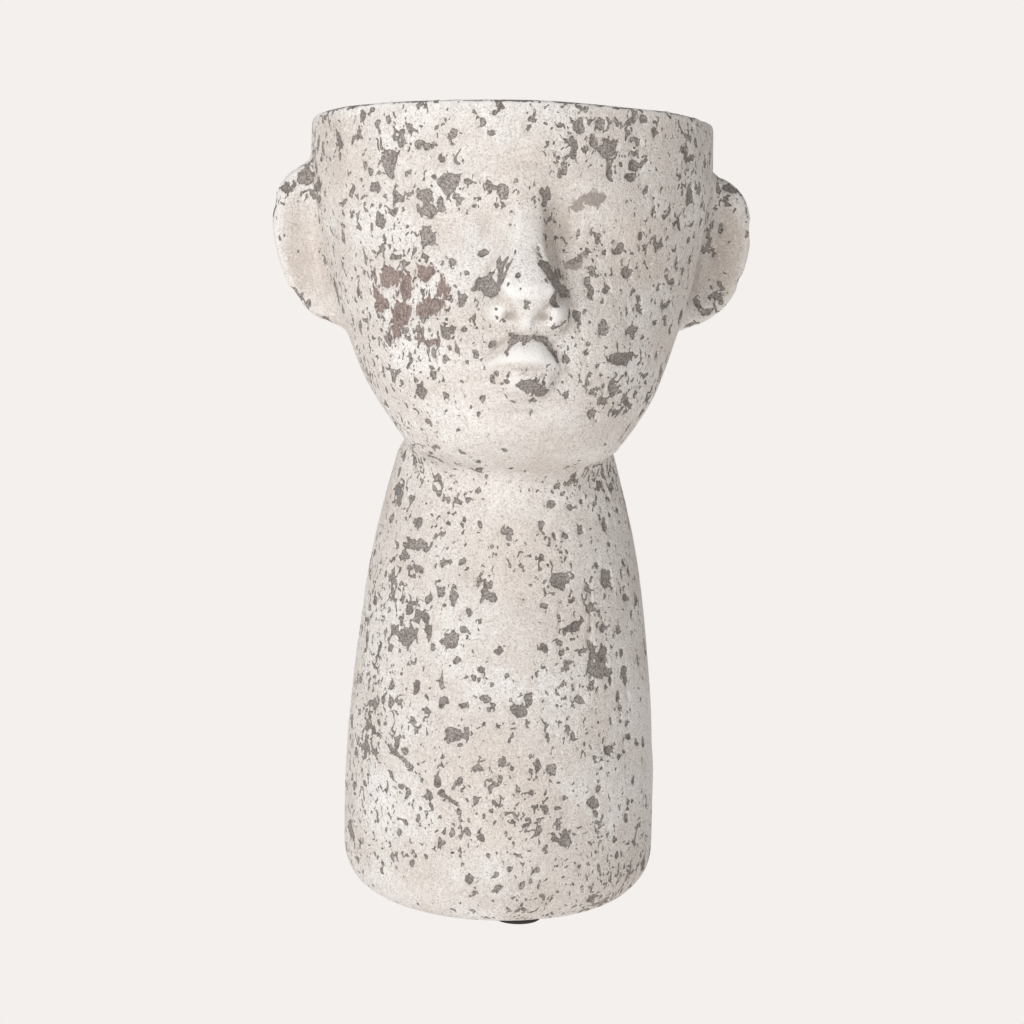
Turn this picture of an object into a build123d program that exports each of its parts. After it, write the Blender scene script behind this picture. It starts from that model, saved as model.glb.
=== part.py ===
# Head planter: one hollow cement casting (head, ears and long neck) with a planting bowl in the crown,
# a drain hole closed by a rubber plug, and four stick-on feet.
# Millimetres, +Z up, the face looks along -Y, origin on the ground under the middle of the whole depth.
import os

from build123d import *

# Casting
body_height = 396        # base to rim
chin_height = 220        # base to the underside of the chin
wall = 11
floor_thickness = 14
overrun = 5              # how far cutters run past the faces they cut

# Neck, round and widest near the base
base_radius = 80
base_edge_radius = 26
throat_radius = 58       # outside of the neck under the chin
neck_crease_radius = 9   # blend between jaw and neck
# height as a share of chin_height, taper as a share of base_radius - throat_radius
neck_shares = (
    (0.27, 0.0),
    (0.42, 0.07),
    (0.60, 0.24),
    (0.78, 0.50),
    (0.96, 0.89),
    (1.15, 1.38),
    (1.30, 1.75),
)

# Head, an egg with its small end pushed forward to the chin
rim_radius = 101
rim_band = 21            # straight wall below the rim
rim_edge_radius = 3.5
chin_reach = 40
# height from the chin to the straight wall, half width and half depth of rim_radius, push of chin_reach
head_shares = (
    (0.000, 0.26, 0.19, 0.90),
    (0.045, 0.41, 0.33, 1.00),
    (0.115, 0.57, 0.485, 1.00),
    (0.205, 0.675, 0.615, 0.87),
    (0.320, 0.76, 0.743, 0.65),
    (0.455, 0.832, 0.861, 0.38),
    (0.625, 0.906, 0.945, 0.16),
    (0.800, 0.968, 0.983, 0.05),
    (0.930, 0.996, 0.997, 0.01),
    (1.000, 1.0, 1.0, 0.0),
)
bowl_first_row = 3       # the bowl's floor lies at this row of the head
bowl_floor_radius = 14

# Face and ears: a height share runs from the chin to the rim
# Ears, thick plates that stand out from the temples and face forward
ear_bottom_share = 0.40
ear_height_share = 0.48
ear_root = 74            # hidden root, from the middle
ear_span = 123           # outer edge, from the middle
ear_front = 5            # in front of the middle
ear_sweep = 3            # degrees, outer edge swept back
ear_thickness = 15
ear_edge_radius = 6
ear_dish_depth = 5
# outward from root to outer edge, upward from bottom to top
ear_shares = (
    (0.30, 1.0),
    (0.62, 0.97),
    (0.91, 0.85),
    (1.0, 0.62),
    (0.93, 0.38),
    (0.73, 0.16),
    (0.42, 0.04),
    (0.1, 0.0),
)
ear_dish_place_share = (0.55, 0.50)
ear_dish_size_share = (0.36, 0.37)

# Nose, a wedge that grows from the brow to the tip and tucks under
nose_bottom_share = 0.415
nose_height_share = 0.392
nose_half_width = 20.5
nose_reach = 25          # tip, out from the face
nose_root = 6            # how deep the nose starts inside the face
# up from the bottom, half width, reach
nose_shares = (
    (0.0, 0.50, 0.25),
    (0.07, 0.78, 0.70),
    (0.17, 0.88, 1.0),
    (0.30, 0.80, 0.96),
    (0.50, 0.62, 0.70),
    (0.75, 0.52, 0.40),
    (1.0, 0.50, -0.15),
)
nostril_half = (3.6, 5, 5)
nostril_side = 9.5
nostril_height_share = 0.44
nostril_reach = 13
wing_half = (7.5, 9, 7.5)
wing_side = 14
wing_height_share = 0.472
wing_reach = 8

# Mouth, two upper lobes over one lower lip
mouth_height_share = 0.307
mouth_half_width = 18
upper_lip_half = (13, 10, 8)
upper_lip_tilt = 20      # degrees, outer ends droop
lower_lip_half = (14, 10, 7)
lip_gap = -1             # the lips press together
lip_root = 3.5           # how deep the lips' middles lie inside the face

# Eye hollows, soft dips beside the nose with no eyes in them
hollow_half = (40, 40, 34)
hollow_side = 34
hollow_height_share = 0.67
hollow_depth = 4.5

# Feet, a foam tape disc under the base and a rubber pad under that
foot_count = 4
foot_radius = 12
foot_circle_radius = 40
foot_turn = 10           # degrees, the front foot sits a little to one side
tape_inset = 0.4
tape_thickness = 2
pad_thickness = 2
pad_edge = 0.5           # bevel round the underside
foot_names = ("front", "right", "back", "left")

# Drain hole and its rubber plug
drain_radius = 11
plug_clearance = 0.25
plug_flange_radius = 17
plug_flange_thickness = 2.2
plug_flange_edge = 0.6
plug_core_inset = 1.0    # shank between the sealing ribs
plug_tip_length = 4      # above the floor
plug_tip_inset = 3
plug_rib_shares = (0.25, 0.65)
plug_rib_height = 2
plug_recess_radius = 5.5
plug_recess_depth = 8

base_z = tape_thickness + pad_thickness
rim_z = base_z + body_height
chin_z = base_z + chin_height
band_z = rim_z - rim_band
head_height = body_height - chin_height


def head_section(row, inset):
    share, half_width, half_depth, push = head_shares[row]
    height = chin_z + share * (band_z - chin_z)
    return height, half_width * rim_radius - inset, half_depth * rim_radius - inset, -push * chin_reach


def head_z(share):
    return chin_z + share * head_height


def face_y(height, aside=0):
    # Front of the egg at a height, a distance aside from the middle; the band stands straight above it.
    rows = [head_section(row, 0) for row in range(len(head_shares))]
    height = min(height, band_z)
    low, high = next(pair for pair in zip(rows, rows[1:]) if height <= pair[1][0])
    along = (height - low[0]) / (high[0] - low[0])
    half_width, half_depth, middle = [a + along * (b - a) for a, b in zip(low[1:], high[1:])]
    return middle - half_depth * (1 - (aside / half_width) ** 2) ** 0.5


def neck_points(inset):
    wide = base_radius - inset
    taper = base_radius - throat_radius
    return [(wide - slim * taper, base_z + share * chin_height) for share, slim in neck_shares]


def ball(half_sizes):
    with BuildPart() as shape:
        Sphere(1)
        scale(by=half_sizes)
    return shape.part


# The origin lies under the middle of the whole depth, nose tip to back of the rim
stand = Pos(0, (nose_reach - face_y(head_z(nose_bottom_share)) - rim_radius) / 2)

# Outer forms of the casting
wing = ball(wing_half)
nostril = ball(nostril_half)
upper_lip = ball(upper_lip_half)
lower_lip = ball(lower_lip_half)
hollow = ball(hollow_half)

with BuildPart() as skull:
    for row in range(len(head_shares)):
        height, half_width, half_depth, middle = head_section(row, 0)
        with BuildSketch(Plane.XY.offset(height)):
            with Locations((0, middle)):
                Ellipse(half_depth, half_width, rotation=90)
    loft()
    hollow_z = head_z(hollow_height_share)
    hollow_y = face_y(hollow_z, hollow_side) + hollow_depth - hollow_half[1]
    with Locations(*[(side * hollow_side, hollow_y, hollow_z) for side in (-1, 1)]):
        add(hollow, mode=Mode.SUBTRACT)
    with BuildSketch(Plane((0, 0, band_z), x_dir=(0, 1, 0))):
        Circle(rim_radius)
    extrude(amount=rim_band)

with BuildPart() as neck:
    with BuildSketch(Plane.XZ):
        with BuildLine():
            points = neck_points(0)
            flat = Line((0, base_z), (base_radius - base_edge_radius, base_z))
            edge = RadiusArc(flat @ 1, (base_radius, base_z + base_edge_radius), -base_edge_radius)
            side = Spline(edge @ 1, *points, tangents=[(0, 1), Vector(*points[-1]) - Vector(*points[-2])])
            top = Line(side @ 1, (0, points[-1][1]))
            Line(top @ 1, flat @ 0)
        make_face()
    revolve(axis=Axis.Z)

with BuildPart() as bust:
    add(skull.part)
    add(neck.part)
    fillet(bust.edges(Select.NEW), neck_crease_radius)

with BuildPart() as head:
    for up, half_width, reach in nose_shares:
        height = head_z(nose_bottom_share + up * nose_height_share)
        with BuildSketch(Plane.XY.offset(height)):
            with Locations((0, face_y(height) + nose_root)):
                Ellipse(reach * nose_reach + nose_root, half_width * nose_half_width, rotation=90)
    loft()
    add(bust.part)
    wing_z = head_z(wing_height_share)
    with Locations(*[(side * wing_side, face_y(wing_z) - wing_reach, wing_z) for side in (-1, 1)]):
        add(wing)
    mouth_z = head_z(mouth_height_share)
    lip_y = face_y(mouth_z) + lip_root
    for side in (-1, 1):
        lobe_x = side * (mouth_half_width - upper_lip_half[0])
        with Locations((lobe_x, lip_y, mouth_z + upper_lip_half[2] + lip_gap)):
            add(upper_lip, rotation=(0, side * upper_lip_tilt, 0))
    with Locations((0, lip_y, mouth_z - lower_lip_half[2])):
        add(lower_lip)
    nostril_z = head_z(nostril_height_share)
    nostril_y = face_y(nostril_z) - nostril_reach
    with Locations(*[(side * nostril_side, nostril_y, nostril_z) for side in (-1, 1)]):
        add(nostril, mode=Mode.SUBTRACT)

ear_plane = Plane(
    origin=(ear_root, -ear_front, head_z(ear_bottom_share)),
    x_dir=Vector(1, 0, 0).rotate(Axis.Z, ear_sweep),
    z_dir=Vector(0, -1, 0).rotate(Axis.Z, ear_sweep),
)
ear_width = ear_span - ear_root
ear_height = ear_height_share * head_height
ear_dish = ball((ear_dish_size_share[0] * ear_width, ear_dish_depth, ear_dish_size_share[1] * ear_height))
with BuildPart() as ears:
    with BuildSketch(ear_plane):
        with BuildLine():
            rim = Spline(*[(out * ear_width, up * ear_height) for out, up in ear_shares])
            Line(rim @ 1, rim @ 0)
        make_face()
    extrude(amount=ear_thickness / 2, both=True)
    fillet(ears.edges().filter_by(GeomType.BSPLINE), ear_edge_radius)
    out, up = ear_dish_place_share
    with Locations(ear_plane.location * Pos(out * ear_width, up * ear_height, ear_thickness / 2)):
        add(ear_dish, rotation=(90, 0, 0), mode=Mode.SUBTRACT)
    mirror(about=Plane.YZ)

# Inner forms: the bowl follows the head, the throat and neck follow the neck
with BuildPart() as bowl:
    for row in range(bowl_first_row, len(head_shares)):
        height, half_width, half_depth, middle = head_section(row, wall)
        with BuildSketch(Plane.XY.offset(height)):
            with Locations((0, middle)):
                Ellipse(half_depth, half_width, rotation=90)
    loft()
    fillet(bowl.faces().sort_by(Axis.Z)[0].edges(), bowl_floor_radius)
    with BuildSketch(Plane.XY.offset(band_z)):
        Circle(rim_radius - wall)
    extrude(amount=rim_band + overrun)

with BuildPart() as neck_hollow:
    with BuildSketch(Plane.XZ):
        with BuildLine():
            points = neck_points(wall)
            floor_z = base_z + floor_thickness
            edge_z = base_z + base_edge_radius + wall
            flat = Line((0, floor_z), (base_radius - base_edge_radius, floor_z))
            edge = RadiusArc(flat @ 1, (base_radius - wall, edge_z), -base_edge_radius)
            side = Spline(edge @ 1, *points)
            top = Line(side @ 1, (0, points[-1][1]))
            Line(top @ 1, flat @ 0)
        make_face()
    revolve(axis=Axis.Z)

with BuildPart() as cast_body:
    add(head.part)
    add(ears.part)
    add(bowl.part, mode=Mode.SUBTRACT)
    add(neck_hollow.part, mode=Mode.SUBTRACT)
    with Locations((0, 0, base_z + floor_thickness)):
        Hole(drain_radius, floor_thickness + overrun)
    fillet(cast_body.faces().sort_by(Axis.Z)[-1].edges(), rim_edge_radius)
cast_body.part.label = "cast_body"
cast_body.part.move(stand)

with BuildPart() as drain_plug:
    with BuildSketch(Plane.XZ):
        with BuildLine():
            rib_radius = drain_radius - plug_clearance
            core_radius = rib_radius - plug_core_inset
            tip_z = base_z + floor_thickness + plug_tip_length
            flange_z = base_z - plug_flange_thickness
            Polyline(
                (0, flange_z + plug_recess_depth),
                (plug_recess_radius, flange_z + plug_recess_depth),
                (plug_recess_radius, flange_z),
                (plug_flange_radius, flange_z),
                (plug_flange_radius, base_z),
                (core_radius, base_z),
                (core_radius, tip_z - plug_tip_length),
                (core_radius - plug_tip_inset, tip_z),
                (0, tip_z),
                close=True,
            )
        make_face()
    revolve(axis=Axis.Z)
    flange_edges = drain_plug.edges().filter_by(GeomType.CIRCLE).sort_by(SortBy.RADIUS)[-2:]
    chamfer(flange_edges, plug_flange_edge)
    for share in plug_rib_shares:
        with Locations((0, 0, base_z + share * floor_thickness)):
            Cylinder(rib_radius, plug_rib_height)
drain_plug.part.label = "drain_plug"
drain_plug.part.move(stand)

os.makedirs("parts", exist_ok=True)
export_step(cast_body.part, "parts/cast_body.step")
export_step(drain_plug.part, "parts/drain_plug.step")

for index, place in enumerate(foot_names):
    angle = -90 + foot_turn + index * 360 / foot_count
    middle = Vector(foot_circle_radius, 0).rotate(Axis.Z, angle)
    with BuildPart() as foot_pad:
        with BuildSketch():
            with Locations(middle):
                Circle(foot_radius)
        extrude(amount=pad_thickness)
        chamfer(foot_pad.faces().sort_by(Axis.Z)[0].edges(), pad_edge)
    with BuildPart() as foot_tape:
        with BuildSketch(Plane.XY.offset(pad_thickness)):
            with Locations(middle):
                Circle(foot_radius - tape_inset)
        extrude(amount=tape_thickness)
    foot_pad.part.label = f"foot_pad_{place}"
    foot_tape.part.label = f"foot_tape_{place}"
    foot_pad.part.move(stand)
    foot_tape.part.move(stand)
    export_step(foot_pad.part, f"parts/foot_pad_{place}.step")
    export_step(foot_tape.part, f"parts/foot_tape_{place}.step")
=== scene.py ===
import math

import bmesh
import bpy
import numpy as np
from mathutils import Matrix, Vector, kdtree


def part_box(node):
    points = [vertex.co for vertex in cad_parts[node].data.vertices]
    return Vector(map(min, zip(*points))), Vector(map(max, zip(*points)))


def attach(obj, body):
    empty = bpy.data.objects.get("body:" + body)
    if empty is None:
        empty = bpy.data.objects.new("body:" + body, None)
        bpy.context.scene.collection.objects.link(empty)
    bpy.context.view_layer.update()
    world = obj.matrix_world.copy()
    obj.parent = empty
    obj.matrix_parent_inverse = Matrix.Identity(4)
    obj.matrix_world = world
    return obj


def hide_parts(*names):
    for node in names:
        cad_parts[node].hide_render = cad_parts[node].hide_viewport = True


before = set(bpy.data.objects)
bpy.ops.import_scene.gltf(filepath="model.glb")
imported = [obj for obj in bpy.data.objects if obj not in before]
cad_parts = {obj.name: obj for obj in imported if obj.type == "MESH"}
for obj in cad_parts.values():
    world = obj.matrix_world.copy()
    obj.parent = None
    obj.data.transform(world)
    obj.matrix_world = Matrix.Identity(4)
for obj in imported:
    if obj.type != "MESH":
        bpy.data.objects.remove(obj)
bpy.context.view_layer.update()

scene = bpy.context.scene
scene.view_settings.view_transform = "Standard"
mm = 0.001
bodyLow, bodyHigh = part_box("cast_body")
plugLow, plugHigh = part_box("drain_plug")
neckAxis = Vector(((plugLow.x + plugHigh.x) / 2, (plugLow.y + plugHigh.y) / 2, bodyLow.z))
bodyHeight = (bodyHigh.z - bodyLow.z) / mm
dice = np.random.default_rng(11)


# sRGB hex to linear, for every colour in the file
def srgb(hexColour, alpha=1.0):
    channels = [int(hexColour[i:i + 2], 16) / 255 for i in (1, 3, 5)]
    linear = [c / 12.92 if c <= 0.04045 else ((c + 0.055) / 1.055) ** 2.4 for c in channels]
    return (*linear, alpha)


# adds one node; settings are node properties, inputs are socket values or sockets to link from
def addNode(tree, kind, settings=None, inputs=None):
    node = tree.nodes.new(kind)
    for name, value in (settings or {}).items():
        setattr(node, name, value)
    for name, value in (inputs or {}).items():
        socket = node.inputs[name]
        if isinstance(value, bpy.types.NodeSocket):
            tree.links.new(value, socket)
        else:
            socket.default_value = value
    return node


def newMaterial(name):
    material = bpy.data.materials.new(name)
    material.use_nodes = True
    material.node_tree.nodes.clear()
    return material, material.node_tree


def smoothStep(low, high, value):
    t = np.clip((value - low) / (high - low), 0, 1)
    return t * t * (3 - 2 * t)


# Points of a mesh in mm from the neck's axis and the base, and back again
def readPoints(mesh):
    flat = np.empty(len(mesh.vertices) * 3, np.float32)
    mesh.vertices.foreach_get("co", flat)
    return (flat.reshape(-1, 3).astype(np.float64) - np.array(neckAxis)) / mm


def writePoints(mesh, points):
    mesh.vertices.foreach_set("co", (points * mm + np.array(neckAxis)).astype(np.float32).ravel())
    mesh.update()


def readNormals(mesh):
    flat = np.empty(len(mesh.vertices) * 3, np.float32)
    mesh.vertex_normals.foreach_get("vector", flat)
    return flat.reshape(-1, 3).astype(np.float64)


def edgePairs(mesh):
    flat = np.empty(len(mesh.edges) * 2, np.int32)
    mesh.edges.foreach_get("vertices", flat)
    return flat.reshape(-1, 2)


# each point moves towards the middle of its neighbours, by its weight
def relax(points, edges, weight, rounds):
    count = len(points)
    share = np.bincount(edges.ravel(), minlength=count)
    share = 1 / np.maximum(share, 1)
    weight = np.broadcast_to(weight, (count,))
    for _ in range(rounds):
        middle = np.empty_like(points)
        for axis in range(3):
            total = np.bincount(edges[:, 0], points[edges[:, 1], axis], count)
            total += np.bincount(edges[:, 1], points[edges[:, 0], axis], count)
            middle[:, axis] = total * share
        points = points + (middle - points) * weight[:, None]
    return points


def remeshed(mesh, voxel):
    holder = bpy.data.objects.new("clayHolder", mesh)
    scene.collection.objects.link(holder)
    remesh = holder.modifiers.new("voxels", "REMESH")
    remesh.mode = "VOXEL"
    remesh.voxel_size = voxel * mm
    graph = bpy.context.evaluated_depsgraph_get()
    shaped = bpy.data.meshes.new_from_object(holder.evaluated_get(graph))
    bpy.data.objects.remove(holder)
    return shaped


# Face, as relief on the smooth front of the egg: mm above the base against mm out from the egg
face = {
    "eggRows": ((238, 57.6, 49.0, -40), (252, 68.2, 62.1, -34.8), (270, 76.8, 75.0, -26),
                (290, 84.0, 87.0, -15.2), (317, 91.5, 95.4, -6.4), (344, 97.8, 99.3, -2),
                (375, 101, 101, 0)),     # height, half width, half depth, middle
    "eggScale": 70,         # mm, keeps the numbers of the fitted curve near 1
    "eggPowers": 4,
    "span": 56,             # half width of the shaped area
    "spanFade": 0.72,       # share of the span where the fade begins
    "low": 230,
    "lowFade": 14,
    "high": 370,
    "highFade": 8,
    "skin": 8,              # mm behind the egg's front, only the outer skin is shaped
    "centre": -2.3,         # the features sit a little left of the egg's middle
    "ridge": ((284, 0), (288, 4), (293, 8.5), (298, 12.5), (302, 16.5), (306, 20.5), (310, 21.5),
              (314, 20), (320, 17), (328, 12.5), (337, 8.5), (347, 5), (358, 2),
              (370, 0)),        # height, reach
    "facet": ((284, 1), (297, 1.6), (302, 5), (306, 8.5), (310, 10.5), (314, 10), (320, 8),
              (330, 5.5), (345, 4.5), (370, 6)),
    "flank": ((284, 4.5), (297, 6), (302, 12), (306, 16.5), (310, 19), (314, 18.5), (322, 15.5),
              (332, 12.5), (345, 12.5), (370, 18)),
    "wings": ((282, 0, 10), (288, 2.5, 15), (293, 6, 18.5), (298, 8.8, 20), (303, 9.8, 20),
              (308, 9.5, 19.5), (314, 8, 18), (322, 6, 15), (332, 3, 11.5),
              (344, 0, 9)),     # height, reach, half width
    "mouth": ((291.5, 0, 2), (289, 2, 4.5), (286, 6.5, 8.5), (282, 9.5, 13), (278, 9.8, 16.5),
              (275.5, 8, 18.5), (273.8, 5.6, 19.5), (272, 6.8, 16.5), (268.5, 8.4, 14),
              (264.5, 7.6, 12.5), (260.5, 4, 10), (256.5, 0.8, 9), (253, 0, 8)),
    "crown": 0.3,           # share of the ridge's reach lost towards its flanks
    "plump": (2.5, 0.75),   # powers that round a swelling
    "fill": 4.0,            # mm, how softly the swellings run together
    "fillFull": 6.0,        # mm of reach at which the fill is full
    "fillLeast": 0.01,
    "lobe": (11.5, 300, 9.8, 9.5, 11.8),            # aside, height, half width, half height, reach
    "nostril": (8.6, 297.0, 2.6, 2.0, -4.5),
    "valley": (17.5, 337, 8, 15, -4.8),     # beside the bridge
    "hollow": (31, 335, 15, 12, -3.2),      # where an eye would be
    "brow": (28, 358, 18, 7, 1.2),
    "cheek": (36, 292, 17, 20, 2.4),
    "muzzle": (0, 276, 20, 16, 2.0),
    "chin": (0, 238, 24, 13, 3.2),
    "philtrum": (0, 288, 3, 5, -1.4),
    "fold": (0, 254.5, 15, 4, -2.4),        # between lower lip and chin
    "soft": ("nostril", "valley", "hollow", "brow", "cheek", "muzzle", "chin", "philtrum", "fold"),
}


def bump(x, z, name):
    aside, height, halfWidth, halfHeight, reach = face[name]
    return reach * np.exp(-((np.abs(x) - aside) / halfWidth) ** 2 - ((z - height) / halfHeight) ** 2)


# a swelling with its reach and half width given by height
def swelling(x, z, name):
    heights, reach, half = np.array(sorted(face[name])).T
    width = np.abs(x) / np.interp(z, heights, half)
    inner, outer = face["plump"]
    return np.interp(z, heights, reach) * np.clip(1 - width ** inner, 0, 1) ** outer


# the higher of two swellings, with the crease between them filled
def joined(first, second):
    fill = np.maximum(face["fill"] * smoothStep(0, face["fillFull"], first + second), face["fillLeast"])
    share = np.clip(0.5 + (first - second) / (2 * fill), 0, 1)
    return second + (first - second) * share + fill * share * (1 - share)


def relief(x, z):
    x = x - face["centre"]
    reach, facet, flank = [np.interp(z, *zip(*face[name])) for name in ("ridge", "facet", "flank")]
    slope = (np.abs(x) - facet) / (flank - facet)
    nose = reach * (1 - face["crown"] * (x / flank) ** 2) * (1 - smoothStep(0, 1, slope))
    aside, height, halfWidth, halfHeight, out = face["lobe"]
    lobe = 1 - ((np.abs(x) - aside) / halfWidth) ** 2 - ((z - height) / halfHeight) ** 2
    nose = joined(joined(nose, swelling(x, z, "wings")), out * np.clip(lobe, 0, 1))
    soft = sum(bump(x, z, name) for name in face["soft"])
    return joined(nose, swelling(x, z, "mouth")) + soft


# smooth front of the egg, from the sections that the CAD lofts
def eggFront(x, z):
    heights, *columns = np.array(face["eggRows"]).T
    rows = (heights - heights.mean()) / face["eggScale"]
    along = (z - heights.mean()) / face["eggScale"]
    curves = [np.polyfit(rows, column, face["eggPowers"]) for column in columns]
    halfWidth, halfDepth, middle = [np.polyval(curve, along) for curve in curves]
    return middle - halfDepth * np.sqrt(np.clip(1 - (x / halfWidth) ** 2, 0, 1))


def shapeFace(mesh):
    points = readPoints(mesh)
    x, y, z = points.T
    egg = eggFront(x, z)
    inside = 1 - smoothStep(face["spanFade"], 1, np.abs(x) / face["span"])
    inside *= smoothStep(face["low"], face["low"] + face["lowFade"], z)
    inside *= 1 - smoothStep(face["high"] - face["highFade"], face["high"], z)
    inside *= y < egg + face["skin"]
    points[:, 1] = y + (egg - relief(x, z) - y) * inside
    writePoints(mesh, points)


photoSide = 1024         # pixels
# photo camera: fitted to the outline, in mm from the neck's axis and the base
camera = {
    "distance": 961,
    "height": 288.5,
    "azimuth": -5.5,        # degrees, the face looks a little to the right of the picture
    "pitch": 5.39,          # degrees down
    "roll": 1.25,           # degrees, the picture leans clockwise
    "lens": 65.8,
    "framing": 0.0071,      # shift, the planter stands left of the middle
    "nearClip": 0.01,       # metres
}


def makeCamera():
    data = bpy.data.cameras.new("photoCamera")
    data.lens = camera["lens"]
    data.shift_x = camera["framing"]
    data.clip_start = camera["nearClip"]
    obj = bpy.data.objects.new("photoCamera", data)
    turn = math.radians(camera["azimuth"])
    distance = camera["distance"]
    offset = Vector((math.sin(turn) * distance, -math.cos(turn) * distance, camera["height"]))
    place = Matrix.Translation(neckAxis + offset * mm)
    aim = Matrix.Rotation(turn, 4, "Z") @ Matrix.Rotation(math.radians(90 - camera["pitch"]), 4, "X")
    obj.matrix_world = place @ aim @ Matrix.Rotation(math.radians(camera["roll"]), 4, "Z")
    scene.collection.objects.link(obj)
    scene.camera = obj
    print("camera:", camera["distance"], "mm from the neck's axis")


# lattice noise between -1 and 1, the same on every run
noise = {
    "primes": (73856093, 19349663, 83492791, 2654435761),   # for the three axes and the seed
    "stirs": ((13, 1540483477), (15, 1274126177)),          # shift and factor
    "mask": 0x7FFFFFFF,
    "drop": 7,              # low bits that repeat
    "levels": 0xFFFF,
    "seeds": {"wobble": 0, "warp": 20, "cluster": 40, "ragged": 50},
}


def waver(points, wavelength, seed):
    scaled = points / wavelength
    cell = np.floor(scaled).astype(np.int64)
    part = scaled - cell
    part = part * part * (3 - 2 * part)
    total = np.zeros(len(points))
    for corner in np.ndindex(2, 2, 2):
        key = 0
        for value, prime in zip((*(cell + corner).T, seed), noise["primes"]):
            key = key ^ value * prime
        key = key & noise["mask"]
        for shift, factor in noise["stirs"]:
            key = ((key ^ key >> shift) * factor) & noise["mask"]
        share = np.prod(np.where(corner, part, 1 - part), axis=1)
        total += share * ((key >> noise["drop"] & noise["levels"]) / (noise["levels"] / 2) - 1)
    return total


# Casting: the CAD body with its face modelled, ears blended in, and pits sunk into the skin
casting = {
    "clayVoxel": 1.6,       # mm, grid on which the face is shaped
    "skinVoxel": 1.2,       # mm, grid of the finished skin
    "wobble": ((46, 0.55), (17, 0.22)),     # wavelength and height of the hand-made unevenness, mm
    "relaxing": 0.5,        # share of the way to the neighbours' middle in each round
    "earBand": ((276, 286), (368, 378)),    # heights over which the ears' smoothing comes in and goes out
    "earDepth": 40,         # mm before and behind the neck's axis
    "earRoot": ((72, 84), (104, 112)),      # mm aside, the same where an ear meets the head
    "rootRounds": 40,
    "earOuter": (94, 102),
    "earRounds": 50,
    "jaw": ((228, 0), (240, 3.2), (247, 3.7), (266, 2), (286, 1), (300, 0)),     # height, mm slimmer a side
    "jawSide": (10, 60),    # mm aside, where that comes in
    "eggEdge": (0.86, 0.95),                # share of the egg's size, where its outside begins
    "leftEarIn": 3.0,       # mm closer to the head than the right one
    "leftEarFrom": (96, 112),               # mm aside, where that comes in
    "neckBore": 46,         # mm, radius that stays inside the neck's wall
    "floor": 10,            # mm, heights between which that bore counts
    "throatTop": 290,
    "wall": 8.5,            # mm under the outer skin, where the inside begins
    "inward": -0.1,         # mm, how far a normal leans to the axis on an inner wall
    "crease": (0.6, 14),    # weight and rounds that find the hollows
}


# 1 on the egg's outside, less inside it
def eggShare(points, margin):
    x, y, z = points.T
    heights, *columns = np.array(face["eggRows"]).T
    height = np.clip(z, heights[0], heights[-1])
    halfWidth, halfDepth, middle = [np.interp(height, heights, column) for column in columns]
    return np.hypot(x / (halfWidth - margin), (y - middle) / (halfDepth - margin))


def hollowInside(points, normals):
    x, y, z = points.T
    inBowl = (eggShare(points, casting["wall"]) < 1) & (z > face["eggRows"][0][0])
    inNeck = (np.hypot(x, y) < casting["neckBore"]) & (z > casting["floor"])
    facesIn = (x * normals[:, 0] + y * normals[:, 1] < casting["inward"]) & (z < face["eggRows"][0][0])
    return inBowl | (inNeck & (z < casting["throatTop"])) | facesIn


def makeSkin():
    clay = remeshed(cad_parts["cast_body"].data.copy(), casting["clayVoxel"])
    shapeFace(clay)
    skin = remeshed(clay, casting["skinVoxel"])
    skin.materials.clear()
    points = readPoints(skin)
    edges = edgePairs(skin)
    relaxing = casting["relaxing"]
    points = relax(points, edges, relaxing, 1)
    x, y, z = points.T
    comesIn, goesOut = casting["earBand"]
    beside = smoothStep(*comesIn, z) * (1 - smoothStep(*goesOut, z)) * (np.abs(y) < casting["earDepth"])
    comesIn, goesOut = casting["earRoot"]
    root = smoothStep(*comesIn, np.abs(x)) * (1 - smoothStep(*goesOut, np.abs(x))) * beside
    points = relax(points, edges, relaxing * root, casting["rootRounds"])
    ear = smoothStep(*casting["earOuter"], np.abs(x)) * beside
    points[:, 1] = relax(points, edges, relaxing * ear, casting["earRounds"])[:, 1]
    points = relax(points, edges, relaxing, 2)
    x, y, z = points.T
    outside = smoothStep(*casting["eggEdge"], eggShare(points, 0))
    slimmer = np.interp(z, *zip(*casting["jaw"]))
    points[:, 0] -= np.sign(x) * slimmer * outside * smoothStep(*casting["jawSide"], np.abs(x))
    points[:, 0] += casting["leftEarIn"] * smoothStep(*casting["leftEarFrom"], -x) * beside
    writePoints(skin, points)
    normals = readNormals(skin)
    for step, (wavelength, height) in enumerate(casting["wobble"]):
        points += normals * (waver(points, wavelength, noise["seeds"]["wobble"] + step) * height)[:, None]
    writePoints(skin, points)
    print("skin:", len(skin.vertices), "vertices")
    return skin


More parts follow.
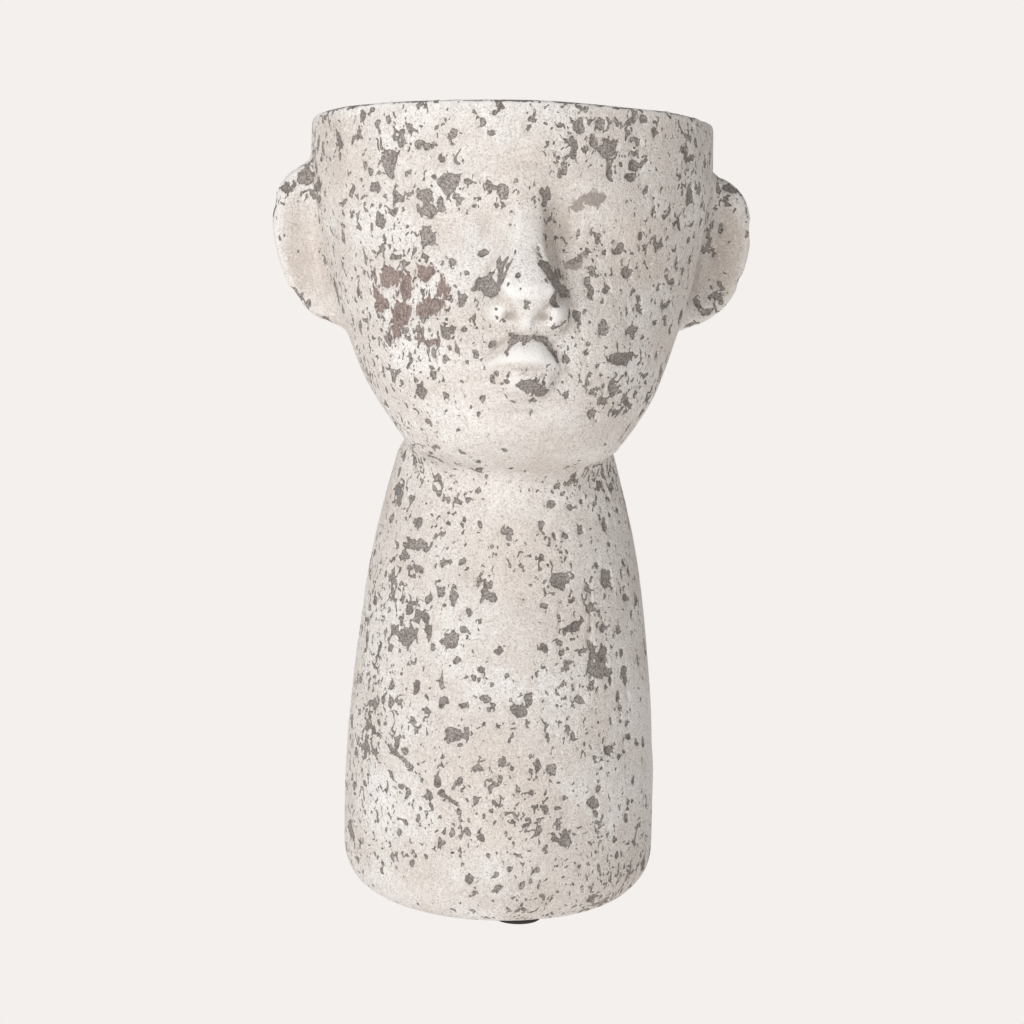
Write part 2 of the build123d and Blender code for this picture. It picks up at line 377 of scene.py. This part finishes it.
# Marks that catch the eye in the photo, as places in its 1024 pixels: across, down, half width, half height
marks = {
    "rimBand": ((361, 114, 6, 7), (391, 139, 5, 5), (340, 141, 4, 9), (362, 137, 4, 4),
                (371, 138, 4, 4), (401, 131, 5, 3), (435, 127, 3, 3), (496, 110, 3, 3),
                (494, 135, 4, 4), (560, 122, 4, 5), (579, 124, 7, 10), (602, 124, 6, 7),
                (634, 141, 5, 5), (455, 133, 3, 4), (574, 150, 3, 6)),
    "forehead": ((388, 158, 8, 11), (363, 164, 4, 6), (378, 175, 5, 5), (392, 175, 5, 5),
                 (376, 189, 7, 6), (427, 196, 10, 7), (428, 210, 8, 10), (400, 200, 6, 5),
                 (433, 178, 4, 4), (450, 184, 8, 10), (504, 191, 9, 8), (516, 181, 5, 4),
                 (495, 206, 3, 5), (608, 150, 12, 10), (637, 166, 6, 8), (630, 180, 6, 4),
                 (562, 169, 3, 6), (546, 194, 5, 12), (689, 158, 4, 9), (689, 197, 4, 12)),
    "cheekLeft": ((382, 221, 5, 9), (381, 250, 5, 6), (395, 256, 8, 4), (425, 238, 9, 13),
                  (445, 257, 4, 6), (452, 263, 5, 5), (483, 253, 7, 4), (467, 271, 5, 5),
                  (488, 286, 11, 10), (463, 300, 8, 6), (476, 291, 6, 5), (463, 329, 5, 5),
                  (492, 344, 5, 6), (444, 359, 5, 6), (475, 354, 3, 5), (411, 362, 3, 3),
                  (394, 376, 4, 9), (403, 383, 3, 6), (419, 391, 5, 6), (457, 430, 4, 3)),
    "cheekRight": ((598, 243, 4, 3), (608, 230, 4, 4), (618, 249, 6, 8), (643, 233, 3, 8),
                   (678, 224, 4, 8), (589, 279, 6, 8), (591, 293, 4, 5), (626, 275, 6, 6),
                   (602, 332, 5, 6), (633, 332, 5, 7), (623, 357, 14, 7), (640, 310, 4, 4),
                   (665, 303, 4, 7), (637, 388, 3, 6), (595, 414, 6, 7), (586, 342, 3, 4),
                   (568, 397, 3, 5), (674, 282, 3, 9), (653, 199, 3, 5)),
    "ears": ((303, 178, 13, 6), (318, 186, 6, 6), (287, 192, 5, 5), (318, 197, 4, 4),
             (312, 303, 3, 3), (300, 284, 4, 3), (731, 186, 8, 7), (722, 230, 3, 8), (714, 254, 4, 6),
             (714, 293, 7, 6), (706, 309, 7, 5), (698, 300, 3, 9)),
    "nose": ((557, 276, 5, 9), (564, 289, 5, 7), (517, 272, 3, 3), (519, 286, 2.5, 2.5),
             (499, 268, 3, 9)),
    "mouth": ((531, 388, 15, 7), (527, 382, 7, 4), (545, 392, 7, 4), (571, 365, 3, 6)),
    "neckTop": ((397, 493, 5, 11), (412, 500, 4, 6), (417, 522, 4, 6), (416, 545, 14, 8),
                (405, 556, 6, 8), (419, 569, 5, 4), (397, 544, 4, 5), (444, 561, 5, 4),
                (461, 562, 5, 5), (492, 545, 5, 5), (482, 526, 4, 5), (504, 532, 5, 4),
                (464, 519, 4, 3), (550, 504, 6, 5), (572, 506, 5, 4), (544, 525, 6, 5), (560, 484, 6, 4)),
    "neckMiddle": ((560, 581, 9, 10), (606, 580, 5, 12), (587, 588, 4, 6), (494, 597, 9, 6),
                   (440, 591, 5, 6), (453, 599, 5, 6), (400, 598, 5, 9), (407, 610, 6, 6),
                   (470, 610, 4, 5), (407, 636, 10, 10), (430, 630, 5, 11), (434, 649, 4, 5),
                   (452, 639, 10, 9), (457, 659, 6, 4), (500, 648, 4, 5), (576, 627, 6, 6),
                   (604, 627, 5, 5), (561, 653, 5, 4), (544, 605, 5, 5), (526, 600, 9, 3),
                   (598, 669, 14, 8), (590, 645, 4, 10), (604, 651, 4, 10), (625, 672, 4, 10),
                   (626, 598, 5, 5)),
    "neckLow": ((442, 701, 6, 6), (464, 703, 6, 5), (427, 711, 5, 6), (391, 702, 5, 9),
                (375, 703, 5, 8), (518, 710, 10, 7), (530, 702, 6, 6), (492, 708, 6, 4),
                (581, 701, 6, 7), (454, 735, 8, 9), (468, 731, 4, 7), (365, 746, 5, 5),
                (404, 750, 5, 5), (477, 770, 5, 4), (500, 777, 5, 7), (552, 770, 5, 6),
                (461, 788, 5, 5), (426, 795, 5, 6), (408, 793, 4, 5), (524, 792, 6, 4),
                (565, 798, 5, 4), (595, 805, 4, 7), (608, 750, 4, 6), (574, 738, 4, 6),
                (474, 678, 4, 5), (392, 683, 4, 6), (562, 843, 7, 4), (516, 855, 5, 4),
                (480, 836, 5, 4), (412, 864, 5, 4)),
}
# flaked lines in the same pixels, some of them partly painted shade: from, to, half width
flakedLines = {
    "neck": ((363, 718, 392, 751, 1.7), (392, 751, 408, 765, 2.4), (408, 765, 425, 783, 1.7),
             (441, 794, 462, 808, 1.5), (591, 580, 591, 690, 0.8), (559, 610, 560, 640, 0.7)),
    "lip": ((505, 351, 509, 345, 1.8), (509, 345, 518, 337, 2.6), (518, 337, 545, 339, 2.6),
            (545, 339, 554, 351, 2.6), (554, 351, 561, 364, 2.2), (566, 357, 573, 369, 2.2)),
    # the first three run down the nose's right flank: partly flaked wash, partly painted shade
    "noseSides": ((538, 247, 543, 261, 2.4), (543, 261, 552, 276, 4.0), (552, 276, 564, 293, 4.2),
                  (514, 252, 503, 274, 1.4), (508, 254, 496, 280, 1.2), (503, 274, 491, 296, 2.2)),
}
rustMarks = ((388, 279, 12, 12), (404, 287, 8, 12), (425, 273, 12, 8), (400, 312, 15, 13),
             (430, 310, 17, 10), (441, 288, 7, 12), (396, 333, 6, 13), (418, 338, 5, 8),
             (433, 341, 10, 5), (378, 300, 6, 14))
paleMarks = ((593, 198, 13, 9), (577, 208, 8, 7), (573, 266, 13, 7), (582, 255, 6, 5))


# broad areas in the same pixels: where the wash is sound, freshly white (also a painted highlight), cream,
# or darker as painted shade
areas = {
    "clean": ((505, 150, 45, 40), (525, 435, 95, 45), (526, 262, 24, 50), (530, 305, 42, 20),
              (530, 355, 30, 12), (470, 235, 35, 25), (510, 625, 30, 50), (645, 740, 26, 60),
              (300, 250, 25, 55), (728, 245, 18, 45), (520, 515, 70, 25), (590, 200, 40, 30),
              (420, 880, 50, 25)),
    # fresh white wash where light shines brightest: partly thicker wash, partly painted highlight
    "white": ((385, 228, 38, 32), (425, 296, 22, 20), (526, 272, 24, 24), (530, 353, 28, 12),
              (420, 355, 40, 28), (645, 720, 26, 55), (385, 640, 30, 60), (375, 800, 24, 40),
              (640, 390, 30, 30)),
    "cream": ((305, 250, 24, 55), (338, 165, 36, 60), (728, 255, 16, 55), (520, 175, 60, 35),
              (510, 560, 60, 50), (500, 800, 70, 70), (500, 308, 14, 14), (560, 230, 22, 30),
              (640, 250, 40, 40)),
    # darker patches at the ears, the head's sides and the foot of the base: painted shade
    "paintedShade": ((728, 250, 24, 62), (704, 150, 14, 45), (505, 895, 70, 16), (335, 150, 14, 45),
              (300, 250, 16, 50)),
}


# where each point lies in the photo's pixels, and how squarely it faces the lens
def inPhoto(points, normals):
    lens = scene.camera
    world = points * mm + np.array(neckAxis)
    view = np.array(lens.matrix_world.inverted())
    seen = world @ view[:3, :3].T + view[:3, 3]
    zoom = lens.data.lens / lens.data.sensor_width * photoSide
    across = photoSide * (0.5 - lens.data.shift_x) + zoom * seen[:, 0] / -seen[:, 2]
    down = photoSide * 0.5 - zoom * seen[:, 1] / -seen[:, 2]
    toLens = np.array(lens.matrix_world.translation) - world
    toLens /= np.linalg.norm(toLens, axis=1)[:, None]
    return across, down, (toLens * normals).sum(1)


# Pits: how deep inside a pit's edge each point lies, in mm
pits = {
    "count": 2200,
    "frontLimit": 2.1,      # mm, the marks above hold the larger ones there
    "small": 0.85,
    "large": 4.6,
    "skew": 3.4,            # most are small
    "depth": 0.85,
    "warp": ((9, 1.4), (3.4, 0.9)),         # wavelength and push that make the edges ragged, mm
    "pixel": 0.49,          # mm
    "clear": -4.0,          # field where there is no pit
    "least": 1.4,           # mm, so that a slim mark still shows
    "lineDepth": 0.5,       # mm, the same for a line
    "grazing": 0.05,        # a mark ends where the skin turns from the lens
    "front": 0.25,          # the skin counts as front from here on
    "areaEdge": (0.45, 1.2),                # shares of an area's half size, where it fades
    "crowding": 0.6,
    "clusters": ((55, 0.4), (18, 0.25)),    # wavelength and weight, mm
    "sparsest": 0.1,
    "cleanSpare": 0.85,     # share of the pits that a clean area is spared
    "stretch": 0.9,         # most that a pit is taller than wide
    "margin": 1,            # mm, for the search round a pit
    "ragged": ((6, 1.0), (2.4, 0.6)),       # wavelength and weight of the worn edges, mm
    "rimChip": 1.7,         # mm of wear at the rim and under the base
    "baseScuff": 1.3,
    "wear": 0.9,
    "slope": (-0.35, 0.9),  # mm, from a pit's lip to its floor
}


def drawMarks(field, places, across, down, facing):
    for x, y, halfWidth, halfHeight in places:
        inside = 1 - np.hypot((across - x) / halfWidth, (down - y) / halfHeight)
        size = max(min(halfWidth, halfHeight) * pits["pixel"], pits["least"])
        np.maximum(field, np.where(facing > pits["grazing"], inside * size, field), out=field)


def drawLines(field, lines, across, down, facing):
    for x0, y0, x1, y1, half in lines:
        along = ((across - x0) * (x1 - x0) + (down - y0) * (y1 - y0)) / ((x1 - x0) ** 2 + (y1 - y0) ** 2)
        along = np.clip(along, 0, 1)
        away = np.hypot(across - x0 - along * (x1 - x0), down - y0 - along * (y1 - y0))
        depth = (half - away) * pits["pixel"] + pits["lineDepth"]
        np.maximum(field, np.where(facing > pits["grazing"], depth, field), out=field)


def areaField(places, across, down, facing):
    field = np.zeros(len(across))
    for x, y, halfWidth, halfHeight in places:
        away = np.hypot((across - x) / halfWidth, (down - y) / halfHeight)
        np.maximum(field, 1 - smoothStep(*pits["areaEdge"], away), out=field)
    return field * (facing > 0)


def scatterPits(pit, points, warped, outer, facing, clean):
    cluster = np.full(len(outer), pits["crowding"])
    for step, (wavelength, weight) in enumerate(pits["clusters"]):
        cluster += weight * waver(points[outer], wavelength, noise["seeds"]["cluster"] + step)
    cluster = np.clip(cluster, pits["sparsest"], None) * (1 - pits["cleanSpare"] * clean[outer])
    centres = dice.choice(outer, pits["count"], replace=False, p=cluster / cluster.sum())
    sizes = pits["small"] + (pits["large"] - pits["small"]) * dice.random(pits["count"]) ** pits["skew"]
    sizes = np.where(facing[centres] > pits["front"], np.minimum(sizes, pits["frontLimit"]), sizes)
    stretch = 1 + pits["stretch"] * dice.random(pits["count"]) ** 2
    tree = kdtree.KDTree(len(outer))
    for place, index in enumerate(outer):
        tree.insert(warped[index], place)
    tree.balance()
    for centre, size, tall in zip(centres, sizes, stretch):
        found = tree.find_range(points[centre], 2 * size * tall + pits["margin"])
        near = outer[[place for _, place, _ in found]]
        gap = (warped[near] - points[centre]) / (1, 1, tall)
        pit[near] = np.maximum(pit[near], size - np.linalg.norm(gap, axis=1))


# bare cement along the rim, and where the base rubs
def wornEdges(points, inside):
    z = points[:, 2]
    wear = pits["wear"]
    ragged = sum(weight * waver(points, wavelength, noise["seeds"]["ragged"] + step)
                 for step, (wavelength, weight) in enumerate(pits["ragged"]))
    chipped = (z - bodyHeight + pits["rimChip"]) * wear + wear * ragged
    scuffed = (pits["baseScuff"] - z) * wear + wear * ragged
    return np.maximum(np.where(inside, pits["clear"], chipped), scuffed)


def pitFields(points, normals, inside):
    warped = points.copy()
    for step, (wavelength, push) in enumerate(pits["warp"]):
        for axis in range(3):
            seed = noise["seeds"]["warp"] + 3 * step + axis
            warped[:, axis] += push * waver(points, wavelength, seed)
    across, down, facing = inPhoto(warped, normals)
    facing = np.where(inside, -1, facing)
    pit = np.full(len(points), pits["clear"])
    rust, pale = pit.copy(), pit.copy()
    for places in marks.values():
        drawMarks(pit, places, across, down, facing)
    straight = inPhoto(points, normals)[:2]
    for lines in flakedLines.values():
        drawLines(pit, lines, *straight, facing)
    drawMarks(rust, rustMarks, across, down, facing)
    drawMarks(pale, paleMarks, across, down, facing)
    broad = {name: areaField(places, across, down, facing) for name, places in areas.items()}
    scatterPits(pit, points, warped, np.flatnonzero(~inside), facing, broad["clean"])
    pit = np.maximum(pit, wornEdges(points, inside))
    return {"pit": pit, "rust": rust, "pale": pale, **broad}


def keepField(mesh, name, values):
    attribute = mesh.attributes.new(name, "FLOAT", "POINT")
    attribute.data.foreach_set("value", values.astype(np.float32))


def makeCasting():
    skin = makeSkin()
    points = readPoints(skin)
    normals = readNormals(skin)
    edges = edgePairs(skin)
    inside = hollowInside(points, normals)
    fields = pitFields(points, normals, inside)
    broad = relax(points, edges, *casting["crease"])
    for name, values in fields.items():
        keepField(skin, name, values)
    # how far each point lies in a crease or out on a ridge, for painted shade and highlight
    keepField(skin, "hollow", ((broad - points) * normals).sum(1))
    keepField(skin, "inside", inside * 1.0)
    sunk = smoothStep(*pits["slope"], np.maximum(fields["pit"], fields["rust"]))
    writePoints(skin, points - normals * (pits["depth"] * sunk)[:, None])
    skin.polygons.foreach_set("use_smooth", [True] * len(skin.polygons))
    body = bpy.data.objects.new("limewashedCasting", skin)
    scene.collection.objects.link(body)
    print("casting: pits cover", round(float((fields["pit"][~inside] > 0).mean()), 3))
    return body


# limewash brushed over pitted cement: chalky and pale, with dark grainy pits where it flaked away, and
# painted shade and highlights in its creases, on its ridges and round its pits
limewash = {
    "chalk": "#F2EFEC",
    "grains": {             # wavelength mm, height over width, detail, twist
        "cloud": (48, 1, 2, 0),
        "patch": (16, 1, 3, 0.6),
        "hairs": (3.0, 1, 4, 3.2),          # crossing brush hairs
        "streak": (1.6, 7, 3, 0.4),         # strokes that run down
        "grit": (0.9, 1, 2, 0),             # sand in the cement, drawn coarse enough to show
        "flake": (6.5, 1.15, 2, 0.6),
        "chip": (2.8, 1.3, 1.5, 0.5),
        "cluster": (40, 1, 1, 0),
    },
    "washes": (             # grain, from, to, most, colour
        ("cloud", 0.36, 0.66, 0.8, "#DDD5CE"),
        ("patch", 0.42, 0.70, 0.6, "#DFD6CE"),
        ("cream", 0.0, 1.0, 0.38, "#DFD1C5"),
        # painted shade from the darker patches
        ("paintedShade", 0.0, 1.0, 0.26, "#B9ACA1"),
        # fresh white, partly a painted highlight
        ("white", 0.0, 1.0, 0.5, "#FAF8F6"),
        ("streak", 0.50, 0.74, 0.4, "#C6BDB5"),
        ("hairs", 0.50, 0.70, 0.8, "#BAB1A9"),
        ("hairs", 0.48, 0.30, 0.7, "#FBF9F7"),
        ("grit", 0.50, 0.76, 0.75, "#ACA39B"),
        ("hollow", 0.08, 0.60, 0.7, "#ADA299"),     # painted shade in the creases
        ("hollow", -0.12, -0.60, 0.8, "#F8F6F4"),   # painted highlight on the ridges
    ),
    "edges": {              # how far each grain pushes a mark's edge about, mm
        "pit": {"flake": 6.5, "chip": 2.5},
        "rust": {"flake": 6.5, "streak": 7, "chip": 3},
        "pale": {"flake": 6.5, "chip": 4},
    },
    "chips": (("flake", 0.34, 0.15, 0.82), ("chip", 0.32, 0.15, 0.81)),     # grain, pull, spare, start
    "chipSlope": 2,         # mm for each wavelength, from a chip's edge inwards
    "shrink": 0.45,         # mm that the wash laps over every edge
    "grainRoughness": 0.6,
    "sandGrain": (0.32, 0.68),
    "deeper": (0.45, 0.7, 0.45),            # from, to, most, where the patch grain darkens the cement
    "layers": (             # mark, sand, from, to, most
        ("pale", "pale", -0.3, 0.7, 0.8),
        ("pit", "cement", -0.1, 0.22, 1.0),
        ("rust", "rusty", -0.1, 0.35, 1.0),
    ),
    "outlineOuter": (-0.1, 0.08),           # mm either side of a pit's edge
    "outlineInner": (0.45, 0.12, 0.55),
    "lifts": {"pit": -0.35, "rust": -0.3, "hairs": 0.5, "streak": 0.2, "grit": 0.25},
    "bump": 0.8,
    "bumpReach": 1,         # mm
    "roughness": 0.92,
    "shine": 0.25,
    "cement": ("#746D69", "#B9B1AC"),
    "rusty": ("#83736D", "#AE9F99"),
    "pale": ("#857A73", "#AA9F98"),
    "bare": ("#8D857D", "#A49B92"),         # unpainted inside
    # painted shadow round the pits
    "outline": "#57504C",
    "dark": "#625B57",
}


def limewashedCement():
    material, tree = newMaterial("limewashedCement")
    smooth = {"interpolation_type": "SMOOTHSTEP"}
    tinted = {"data_type": "RGBA"}
    place = addNode(tree, "ShaderNodeTexCoord").outputs["Object"]
    fields = {}
    for name in ("pit", "rust", "pale", "hollow", "inside", *areas):
        fields[name] = addNode(tree, "ShaderNodeAttribute", {"attribute_name": name}).outputs["Fac"]
    for name, (wavelength, tall, detail, twist) in limewash["grains"].items():
        scale = 1 / (wavelength * mm)
        stretched = addNode(tree, "ShaderNodeMapping", inputs={
            "Vector": place, "Scale": (scale, scale, scale / tall)})
        fields[name] = addNode(tree, "ShaderNodeTexNoise", inputs={
            "Vector": stretched.outputs[0], "Scale": 1.0, "Detail": detail,
            "Roughness": limewash["grainRoughness"], "Distortion": twist}).outputs["Fac"]

    wash = srgb(limewash["chalk"])
    for name, low, high, most, tint in limewash["washes"]:
        share = addNode(tree, "ShaderNodeMapRange", smooth, {
            "Value": fields[name], "From Min": low, "From Max": high, "To Max": most})
        wash = addNode(tree, "ShaderNodeMix", tinted, {
            "Factor": share.outputs[0], "A": wash, "B": srgb(tint)}).outputs["Result"]

    low, high = limewash["sandGrain"]
    grainy = addNode(tree, "ShaderNodeMapRange", smooth, {
        "Value": fields["grit"], "From Min": low, "From Max": high})
    sandy = {}
    for name in ("cement", "rusty", "pale", "bare"):
        dark, light = limewash[name]
        sandy[name] = addNode(tree, "ShaderNodeMix", tinted, {
            "Factor": grainy.outputs[0], "A": srgb(dark), "B": srgb(light)}).outputs["Result"]
    low, high, most = limewash["deeper"]
    deeper = addNode(tree, "ShaderNodeMapRange", smooth, {
        "Value": fields["patch"], "From Min": low, "From Max": high, "To Max": most})
    sandy["cement"] = addNode(tree, "ShaderNodeMix", tinted, {
        "Factor": deeper.outputs[0], "A": sandy["cement"], "B": srgb(limewash["dark"])}).outputs["Result"]

    edges = {}
    for name, pushes in limewash["edges"].items():
        edge = fields[name]
        for grain, push in pushes.items():
            edge = addNode(tree, "ShaderNodeMath", {"operation": "MULTIPLY_ADD"}, {
                0: fields[grain], 1: push, 2: edge}).outputs[0]
        edges[name] = addNode(tree, "ShaderNodeMath", {"operation": "SUBTRACT"}, {
            0: edge, 1: sum(pushes.values()) / 2 + limewash["shrink"]}).outputs[0]
    for grain, pull, spare, start in limewash["chips"]:
        steep = limewash["chipSlope"] * limewash["grains"][grain][0]
        flaked = fields[grain]
        for field, weight in ((fields["cluster"], pull), (fields["clean"], -spare)):
            flaked = addNode(tree, "ShaderNodeMath", {"operation": "MULTIPLY_ADD"}, {
                0: field, 1: weight, 2: flaked}).outputs[0]
        flaked = addNode(tree, "ShaderNodeMath", {"operation": "MULTIPLY_ADD"}, {
            0: flaked, 1: steep, 2: -steep * start}).outputs[0]
        edges["pit"] = addNode(tree, "ShaderNodeMath", {"operation": "MAXIMUM"}, {
            0: edges["pit"], 1: flaked}).outputs[0]

    colour = wash
    shares = {}
    for name, sand, low, high, most in limewash["layers"]:
        shares[name] = addNode(tree, "ShaderNodeMapRange", smooth, {
            "Value": edges[name], "From Min": low, "From Max": high, "To Max": most}).outputs[0]
        colour = addNode(tree, "ShaderNodeMix", tinted, {
            "Factor": shares[name], "A": colour, "B": sandy[sand]}).outputs["Result"]
    # a dark ring round each pit's edge: painted shadow under the wash's broken lip
    low, high = limewash["outlineOuter"]
    outer = addNode(tree, "ShaderNodeMapRange", smooth, {
        "Value": edges["pit"], "From Min": low, "From Max": high})
    low, high, most = limewash["outlineInner"]
    inner = addNode(tree, "ShaderNodeMapRange", smooth, {
        "Value": edges["pit"], "From Min": low, "From Max": high, "To Max": most})
    outline = addNode(tree, "ShaderNodeMath", {"operation": "MULTIPLY"}, {
        0: outer.outputs[0], 1: inner.outputs[0]})
    colour = addNode(tree, "ShaderNodeMix", tinted, {
        "Factor": outline.outputs[0], "A": colour, "B": srgb(limewash["outline"])}).outputs["Result"]
    colour = addNode(tree, "ShaderNodeMix", tinted, {
        "Factor": fields["inside"], "A": colour, "B": sandy["bare"]}).outputs["Result"]

    height = 0.0
    for name, lift in limewash["lifts"].items():
        height = addNode(tree, "ShaderNodeMath", {"operation": "MULTIPLY_ADD"}, {
            0: shares.get(name, fields[name]), 1: lift, 2: height}).outputs[0]
    relief = addNode(tree, "ShaderNodeBump", inputs={
        "Height": height, "Strength": limewash["bump"], "Distance": limewash["bumpReach"] * mm})
    shader = addNode(tree, "ShaderNodeBsdfPrincipled", inputs={
        "Base Color": colour, "Roughness": limewash["roughness"], "Specular IOR Level": limewash["shine"],
        "Normal": relief.outputs[0]})
    addNode(tree, "ShaderNodeOutputMaterial", inputs={"Surface": shader.outputs[0]})
    return material


makeCamera()
body = makeCasting()
body.data.materials.append(limewashedCement())
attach(body, "planter")
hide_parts("cast_body")


# small pieces keep their CAD shapes and get a fuller finish
finishes = {
    "mouldedRubber": {"nodes": ("drain_plug",), "colour": "#2A2827", "light": "#3A3735", "roughness": 0.62,
                      "shine": 0.4, "grain": 0.8, "lift": 0.05},     # dull black with a soft moulding sheen
    "closedCellFoam": {"nodes": ("foot_tape_front", "foot_tape_right", "foot_tape_back", "foot_tape_left"),
                       "colour": "#CFCAC4", "light": "#E2DED9", "roughness": 0.95, "shine": 0.2,
                       "grain": 0.5, "lift": 0.12},                  # chalky off-white with tiny cells
    "dieCutRubber": {"nodes": ("foot_pad_front", "foot_pad_right", "foot_pad_back", "foot_pad_left"),
                     "colour": "#33302F", "light": "#46423F", "roughness": 0.8, "shine": 0.3, "grain": 0.6,
                     "lift": 0.08},                                  # charcoal with a dry, dusty face
}


def finishSmallPieces():
    for name, finish in finishes.items():
        material, tree = newMaterial(name)
        place = addNode(tree, "ShaderNodeTexCoord").outputs["Object"]
        cells = addNode(tree, "ShaderNodeTexNoise", inputs={
            "Vector": place, "Scale": 1 / (finish["grain"] * mm), "Detail": 2.0}).outputs["Fac"]
        colour = addNode(tree, "ShaderNodeMix", {"data_type": "RGBA"}, {
            "Factor": cells, "A": srgb(finish["colour"]), "B": srgb(finish["light"])}).outputs["Result"]
        relief = addNode(tree, "ShaderNodeBump", inputs={
            "Height": cells, "Strength": 1.0, "Distance": finish["lift"] * mm}).outputs[0]
        shader = addNode(tree, "ShaderNodeBsdfPrincipled", inputs={
            "Base Color": colour, "Roughness": finish["roughness"], "Specular IOR Level": finish["shine"],
            "Normal": relief})
        addNode(tree, "ShaderNodeOutputMaterial", inputs={"Surface": shader.outputs[0]})
        for node in finish["nodes"]:
            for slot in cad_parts[node].material_slots:
                slot.material = material
    print("small pieces:", sum(len(finish["nodes"]) for finish in finishes.values()), "finished")


finishSmallPieces()

# pale seamless sweep, lit evenly so that no horizon shows, and the same paper all round for the other views
stage = {
    "half": 3.0,            # metres, half the sweep's width, and its height
    "back": 1.6,
    "bend": 0.5,
    "bendSteps": 12,
    "round": 2.9,           # metres, radius of the paper all round
    "roundSides": 64,
    "roundTop": 5.0,
    "colour": "#F4F0ED",
}


def makeStage():
    material, tree = newMaterial("seamlessPaper")
    shader = addNode(tree, "ShaderNodeEmission", inputs={"Color": srgb(stage["colour"]), "Strength": 1.0})
    addNode(tree, "ShaderNodeOutputMaterial", inputs={"Surface": shader.outputs[0]})
    line = [(-stage["half"], 0)]
    for step in range(stage["bendSteps"] + 1):
        angle = math.radians(90 * step / stage["bendSteps"])
        y = stage["back"] + stage["bend"] * math.sin(angle)
        line.append((y, stage["bend"] * (1 - math.cos(angle))))
    line.append((stage["back"] + stage["bend"], stage["half"]))
    sweep = [[(side * stage["half"], y, z) for y, z in line] for side in (-1, 1)]
    turns = [2 * math.pi * step / stage["roundSides"] for step in range(stage["roundSides"] + 1)]
    wall = [[(stage["round"] * math.sin(turn), stage["round"] * math.cos(turn), z) for turn in turns]
            for z in (0, stage["roundTop"])]
    papers = {}
    for name, (near, far) in {"paperSweep": sweep, "paperRound": wall}.items():
        mesh = bpy.data.meshes.new(name)
        bm = bmesh.new()
        near, far = [[bm.verts.new(place) for place in row] for row in (near, far)]
        for i in range(len(near) - 1):
            bm.faces.new((near[i], far[i], far[i + 1], near[i + 1]))
        bm.to_mesh(mesh)
        mesh.polygons.foreach_set("use_smooth", [True] * len(mesh.polygons))
        mesh.materials.append(material)
        paper = bpy.data.objects.new(name, mesh)
        scene.collection.objects.link(paper)
        papers[name] = paper
    for ray in ("diffuse", "glossy", "transmission", "shadow"):
        setattr(papers["paperRound"], "visible_" + ray, False)      # it lights nothing
    print("stage: sweep and round paper")


# soft key from the front left, weak fill from the right, and light thrown back by the table
lamps = {
    "keySoftbox": {"place": (-1.0, -1.33, 0.86), "size": 0.8, "energy": 15.2},
    "fillSoftbox": {"place": (1.3, -1.0, 0.6), "size": 1.2, "energy": 0.8},
    "tableBounce": {"place": (-0.35, -1.2, 0.31), "size": 0.6, "energy": 2.7},
}
# the room's own light, and the point that the lamps face
studio = {"colour": "#F4F0ED", "strength": 0.23, "aim": (0, 0, 0.24)}


def makeLights():
    world = bpy.data.worlds.new("studio")
    world.use_nodes = True
    background = world.node_tree.nodes["Background"]
    background.inputs["Color"].default_value = srgb(studio["colour"])
    background.inputs["Strength"].default_value = studio["strength"]
    scene.world = world
    for name, lamp in lamps.items():
        light = bpy.data.lights.new(name, "AREA")
        light.size = lamp["size"]
        light.energy = lamp["energy"]
        obj = bpy.data.objects.new(name, light)
        obj.location = lamp["place"]
        aim = Vector(studio["aim"]) - obj.location
        obj.rotation_euler = aim.to_track_quat("-Z", "Y").to_euler()
        scene.collection.objects.link(obj)
    print("lights:", len(lamps), "softboxes")


makeStage()
makeLights()
